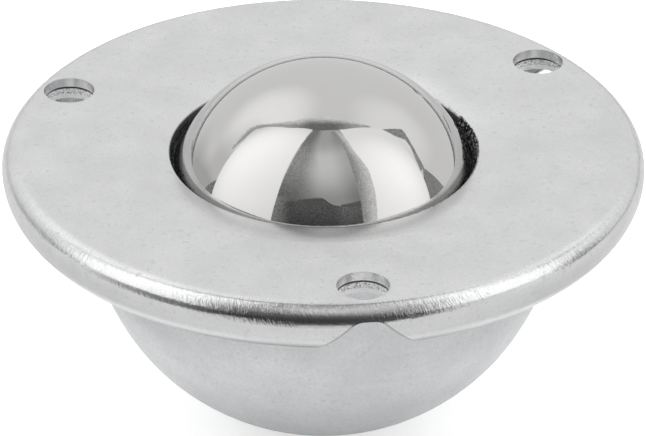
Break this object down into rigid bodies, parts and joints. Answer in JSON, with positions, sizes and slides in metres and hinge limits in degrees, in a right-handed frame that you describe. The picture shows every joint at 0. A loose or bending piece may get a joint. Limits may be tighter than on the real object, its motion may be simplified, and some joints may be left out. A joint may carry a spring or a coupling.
{
  "type": "ball castor",
  "caption": "Ball castor: a polished steel ball that rolls on bearing balls in a pressed bowl, with a round flange fixed by screws.",
  "frame": {"origin": "on the load ball's axis, in the plane that the rolled lip of the flange seats on, inside the straight neck of the bowl", "axes": "+Z along the ball's axis, out of its crown; one fixing hole lies on the -Y side"},
  "size_m": [0.0762, 0.0761, 0.0454],
  "materials": {
    "zinc_plate": "satin",
    "polished_steel": "mirror",
    "hardened_steel": "ground",
    "black_felt": "matt"
  },
  "bodies": {
    "fixed_unit": {"cover": "zinc_plate", "housing": "zinc_plate", "race_cup": "hardened_steel", "ball_retainer": "hardened_steel", "felt_seal": "black_felt"},
    "bearing_set": {"bearing_row_1_third_1": "polished_steel", "bearing_row_1_third_2": "polished_steel", "bearing_row_1_third_3": "polished_steel", "bearing_row_2_third_1": "polished_steel", "bearing_row_2_third_2": "polished_steel", "bearing_row_2_third_3": "polished_steel", "bearing_row_3_third_1": "polished_steel", "bearing_row_3_third_2": "polished_steel", "bearing_row_3_third_3": "polished_steel", "bearing_row_4_third_1": "polished_steel", "bearing_row_4_third_2": "polished_steel", "bearing_row_4_third_3": "polished_steel", "bearing_row_5_third_1": "polished_steel", "bearing_row_5_third_2": "polished_steel", "bearing_row_5_third_3": "polished_steel", "bearing_row_6_third_1": "polished_steel", "bearing_row_6_third_2": "polished_steel", "bearing_row_6_third_3": "polished_steel", "bearing_row_7_third_1": "polished_steel", "bearing_row_7_third_2": "polished_steel", "bearing_row_7_third_3": "polished_steel", "bottom_bearing_ball": "polished_steel"},
    "side_ball": {"side_bearing_ball": "polished_steel"},
    "rolling_ball": {"load_ball": "polished_steel"}
  },
  "joints": [
    {"name": "bearing_set_turn", "type": "hinge", "parent": "fixed_unit", "child": "bearing_set", "pos_m": [0, 0, -0.0031], "axis": [0, 0, 1], "continuous": true},
    {"name": "side_ball_spin", "type": "hinge", "parent": "bearing_set", "child": "side_ball", "pos_m": [0, 0, -0.0031], "axis": [1, 0, 0], "continuous": true},
    {"name": "load_ball_roll", "type": "hinge", "parent": "side_ball", "child": "rolling_ball", "pos_m": [0, 0, -0.0031], "axis": [0, 1, 0], "continuous": true}
  ]
}
